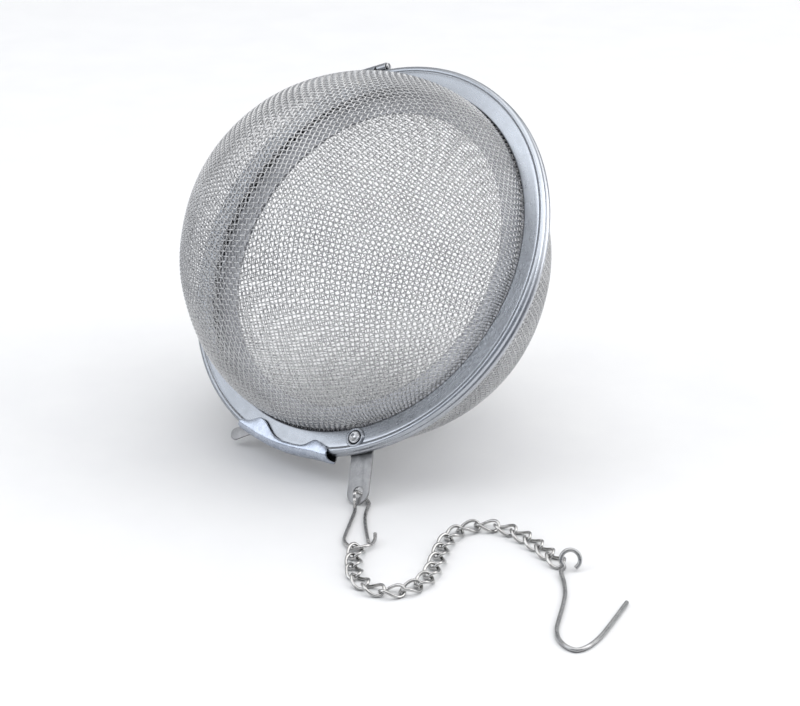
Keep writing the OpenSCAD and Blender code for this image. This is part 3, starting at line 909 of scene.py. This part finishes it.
def channel():
    azimuths = np.linspace(OPEN_END, NOSE_END, CHANNEL_COUNT)
    sections = np.array([channel_section(a) for a in azimuths])
    r, z = sections[..., 0], sections[..., 1]
    cosine, sine = np.cos(np.radians(azimuths)), np.sin(np.radians(azimuths))
    grid = np.stack([r * cosine[:, None], r * sine[:, None], z], -1)
    normals = unit(np.cross(np.gradient(grid, axis=0), np.gradient(grid, axis=1)))
    # half way along, on the wall, the normal is to point away from the ball's axis
    mid, on_wall = CHANNEL_COUNT // 2, 15
    if normals[mid, on_wall] @ np.array([cosine[mid], sine[mid], 0]) < 0:
        normals = -normals
    return thick(from_ball(grid), LATCH_SHEET, ball_direction(normals))


def on_strap(points):
    """Points along and across the strap, from the rivet."""
    return placed(points, (RIVET_X, 0), STRAP_AZIMUTH)


def strap():
    """The flat part: chain strap, rivet boss and the plate that runs to the channel."""
    outline = on_strap(arc(STRAP_END, 0, STRAP_HALF, -90, 90, 32)
                       + [(2.0, STRAP_HALF), (1.2, STRAP_HALF)])
    outline += arc(RIVET_X, 0, 1.62, 95, 215, 16)
    outline += arc(0, 0, 37.6, -3.4, OPEN_END - 2.5, 10)
    outline += arc(0, 0, 41.1, OPEN_END - 2.5, OPEN_END - 0.8, 4)
    outline += arc(0, 0, 39.9, OPEN_END + 0.2, -6.0, 4)
    outline += [(40.1, -3.1)] + on_strap([(3.0, -STRAP_HALF)])
    chain_hole = on_strap([(10, 0)])[0]
    holes = [circle(RIVET_X, 0, 0.84, 40), circle(*chain_hole, 1.1, 48)]
    return plate(outline, holes, PLATE_Z, 0.38)


def tab():
    """The finger tab beyond the channel's nose."""
    a = math.radians(NOSE_END + 0.6)
    origin = (WALL_OUTER * math.cos(a) - 0.6, WALL_OUTER * math.sin(a) + 0.9)
    outline = arc(TAB_LENGTH - TAB_HALF, 0, TAB_HALF, -90, 90, 24)
    outline += [(0.6, TAB_HALF), (TAB_ROOT, TAB_HALF), (TAB_ROOT, -TAB_HALF), (0.6, -TAB_HALF)]
    return plate(placed(outline, origin, TAB_AZIMUTH), [], PLATE_Z, 0.36)


put("latch_stamping", joined([channel(), strap(), tab()]),
    "latch", LATCH_STEEL, "latch_lever")

# ---------------------------------------------------------------- clip
CLIP_WIRE = 0.7
# (x, y, z) of the clip before and after it passes the strap's hole: x and y from the hole,
# z from the height at which the wire rests just above the floor
CLIP_START = [
    (3.35, -14.9, 1.0), (3.3, -16.5, 0.62), (2.8, -18.0, 0.48), (1.75, -19.15, 0.73),
    (0.3, -19.4, 0.5), (-0.95, -18.9, 0.27), (-1.95, -17.3, 0.2), (-2.35, -15.3, 0),
    (-2.05, -13.0, 0), (-1.25, -8.4, 0), (-0.62, -4.6, 0.02), (-0.62, -3.2, 0.30)]
CLIP_END = [
    (1.65, -0.35, 0.15), (2.1, -1.6, 0), (1.72, -3.6, 0), (1.40, -6.2, 0),
    (1.45, -9.5, 0), (1.75, -13.0, 0), (2.1, -16.2, 0)]
# the pass through the hole: (along the ball's Z, along the strap)
CLIP_PASS = [(1.00, 1.75), (1.22, 0.7), (0.75, 0.04), (0, 0), (-0.8, 0.1)]

strap_angle = math.radians(STRAP_AZIMUTH)
strap_axis = ball_direction([math.cos(strap_angle), math.sin(strap_angle), 0])
clip_rest = np.array([0, 0, CLIP_WIRE / 2 + 0.02 - CLIP_HOLE[2]])
clip_pass = np.array([out * BALL_Z + along * strap_axis for out, along in CLIP_PASS])
clip_pass[-1] += (0.2, 0, 0)
clip_path = CLIP_HOLE + np.vstack([np.array(CLIP_START) + clip_rest, clip_pass,
                                   np.array(CLIP_END) + clip_rest])
put("snap_clip_wire", wire(spline(clip_path, 8), CLIP_WIRE, 16),
    "clip", CLIP_STEEL, "chain_clip")

# ---------------------------------------------------------------- chain
LINK_PITCH, LINK_HALF_WIDTH, LINK_WIRE = 3.64, 1.42, 0.6
LINK_HALF_LENGTH = LINK_PITCH / 2 + 0.38
LINK_COUNT = 56  # points round one link
LINK_SQUARENESS = 0.9  # below 1 the oval is fuller at its corners
LINK_TWIST = 45  # degrees, each way from the middle

by_child = {joint["child"]: joint for joint in joints.values()}
link_total = sum(name.startswith("link_") for name in joints)
link_ends = [joint_mm(by_child["link_%02d" % k]) for k in range(1, link_total + 1)]
link_ends.append(joint_mm(joints["hook_swing"]))


def link_curve(number):
    """The twisted oval of one link, its width a little different from link to link, and the
    guides for its section."""
    rng = np.random.default_rng(100 + number)
    angles = np.arange(LINK_COUNT) * 2 * pi / LINK_COUNT
    c, s = np.cos(angles), np.sin(angles)
    half_width = LINK_HALF_WIDTH + rng.uniform(-0.03, 0.03)
    x = LINK_HALF_LENGTH * np.sign(c) * np.abs(c) ** LINK_SQUARENESS
    y = half_width * np.sign(s) * np.abs(s) ** LINK_SQUARENESS
    twist = np.radians(LINK_TWIST) * x / LINK_HALF_LENGTH
    return (np.stack([x, y * np.cos(twist), y * np.sin(twist)], -1),
            np.stack([0 * twist, -np.sin(twist), np.cos(twist)], -1))


for k, (start, end) in enumerate(zip(link_ends, link_ends[1:]), 1):
    heading = math.atan2(end[1] - start[1], end[0] - start[0])
    c, s = math.cos(heading), math.sin(heading)
    rotation = np.array([[c, s, 0], [-s, c, 0], [0, 0, 1]])
    curve, guides = link_curve(k)
    link_mesh = wire(curve @ rotation + (start + end) / 2, LINK_WIRE, 14, closed=True,
                     guides=guides @ rotation)
    put("link_wire_%02d" % k, link_mesh, "link_%02d" % k, CHAIN_STEEL,
        "chain_link_%02d" % k)

# ---------------------------------------------------------------- hook
HOOK_WIRE, EYE_RADIUS = 0.8, 1.75
EYE_LIFT = 0.86  # height of the eye's centre above the lying wire, in eye radii
# (x, y, z) of the shank and hook, from a point on the lying wire beside the eye
HOOK_PATH = [
    (0.62, -2.6, 0.35), (0.95, -5.6, 0), (0.85, -9.6, 0), (0.2, -13.6, 0), (-0.75, -18.0, 0),
    (-1.4, -21.6, 0), (-1.2, -24.6, 0), (-0.2, -26.9, 0), (1.45, -28.1, 0), (3.5, -27.0, 0),
    (5.8, -23.9, 0), (8.25, -19.1, 0), (10.2, -15.0, 0), (11.4, -12.4, 0)]

hook_z = HOOK_WIRE / 2 + 0.035
hook_joint = link_ends[-1]
eye_centre = np.array([hook_joint[0] + 1.66, hook_joint[1] - 0.37,
                       hook_z + EYE_RADIUS * EYE_LIFT + 0.05])
eye_u = unit(np.array([1, 0.12, 0.0]))
eye_v = unit(np.array([-0.06, 0.5, 0.86]))
hook_origin = np.array([eye_centre[0] - 2.4, eye_centre[1] + 0.2, hook_z])
hook_path = [eye_centre + x * eye_u + y * eye_v
             for x, y in arc(0, 0, EYE_RADIUS, -62, 226, 10)]
hook_path += [hook_origin + np.array(p) for p in HOOK_PATH]
put("mug_hook_wire", wire(spline(hook_path, 8), HOOK_WIRE, 18, first_normal=(0.2, 0.3, 1)),
    "hook", HOOK_STEEL, "mug_hook")

# ---------------------------------------------------------------- floor
floor_mesh = bpy.data.meshes.new("floor")
floor_mesh.from_pydata([(-4, -4, 0), (4, -4, 0), (4, 6, 0), (-4, 6, 0)], [], [(0, 1, 2, 3)])
floor = bpy.data.objects.new("floor", floor_mesh)
bpy.context.scene.collection.objects.link(floor)
paper, sh = new_material("white_paper")
paper_tone = sh.noise(sh.coordinates("Object"), scale=60, detail=4)
sh.surface(
    Roughness=0.9,
    Specular_IOR_Level=0.15,
    Base_Color=sh.ramp(paper_tone, [(0.3, (0.86, 0.86, 0.865)), (0.7, (0.885, 0.885, 0.885))]))
floor_mesh.materials.append(paper)

# ---------------------------------------------------------------- light
world = bpy.data.worlds.new("studio")
bpy.context.scene.world = world
world.use_nodes = True
sh = Shader(world.node_tree)
sky = sh.node("ShaderNodeSeparateXYZ", {0: sh.coordinates("Generated")}).outputs
# bright above and behind, dimmer towards the camera's side of the room
up = sh.remap(sky["Z"], span=(0.0, 0.75), to=(0.0, 1.0))
back = sh.remap(sky["Y"], span=(-0.7, 0.5), to=(0.0, 1.0))
up_color = sh.ramp(up, [(0.0, (0.30, 0.315, 0.345)), (0.35, (0.62, 0.645, 0.69)), (1.0, WHITE)])
back_color = sh.ramp(back, [(0.0, (0.42, 0.435, 0.47)), (1.0, WHITE)])
background = world.node_tree.nodes["Background"].inputs
sh.feed(background["Color"], sh.multiply(up_color, back_color))
background["Strength"].default_value = 0.79


def area_light(name, location, target, size, power, color=WHITE):
    """A rectangular light aimed at `target`, in metres and watts."""
    light = bpy.data.lights.new(name, "AREA")
    light.shape = "RECTANGLE"
    light.size, light.size_y = size
    light.energy = power
    light.color = color
    ob = bpy.data.objects.new(name, light)
    bpy.context.scene.collection.objects.link(ob)
    ob.location = location
    aim = Vector(target) - Vector(location)
    ob.rotation_euler = aim.to_track_quat("-Z", "Y").to_euler()


area_light("top_soft", location=(0.14, 0.02, 0.90), target=(0, 0, 0.02), size=(1.3, 1.3),
           power=6.0)
area_light("left_soft", location=(-0.80, -0.15, 0.55), target=(0, 0, 0.03), size=(0.6, 0.8),
           power=2.6, color=(0.93, 0.96, 1.0))
area_light("right_soft", location=(0.85, -0.10, 0.50), target=(0, 0, 0.03), size=(0.6, 0.8),
           power=3.2)

# ---------------------------------------------------------------- camera
CAMERA_RIGHT, CAMERA_BACK = 6.794, 403.6  # mm from the ball's centre, along +X and -Y
CAMERA_HEIGHT = 195.46
CAMERA_PITCH = 24  # degrees below level

camera = bpy.data.cameras.new("camera")
camera.sensor_fit = "HORIZONTAL"
camera.sensor_width = 36.0
camera.lens = 99.0
camera.clip_start, camera.clip_end = 0.01, 50
camera_ob = bpy.data.objects.new("camera", camera)
scene = bpy.context.scene
scene.collection.objects.link(camera_ob)
camera_ob.location = ((BALL_CENTRE[0] + CAMERA_RIGHT) / 1000,
                      (BALL_CENTRE[1] - CAMERA_BACK) / 1000, CAMERA_HEIGHT / 1000)
camera_ob.rotation_euler = (math.radians(90 - CAMERA_PITCH), 0, 0)
scene.camera = camera_ob
scene.view_settings.view_transform = "Standard"
scene.view_settings.look = "None"
scene.view_settings.exposure = 0.0
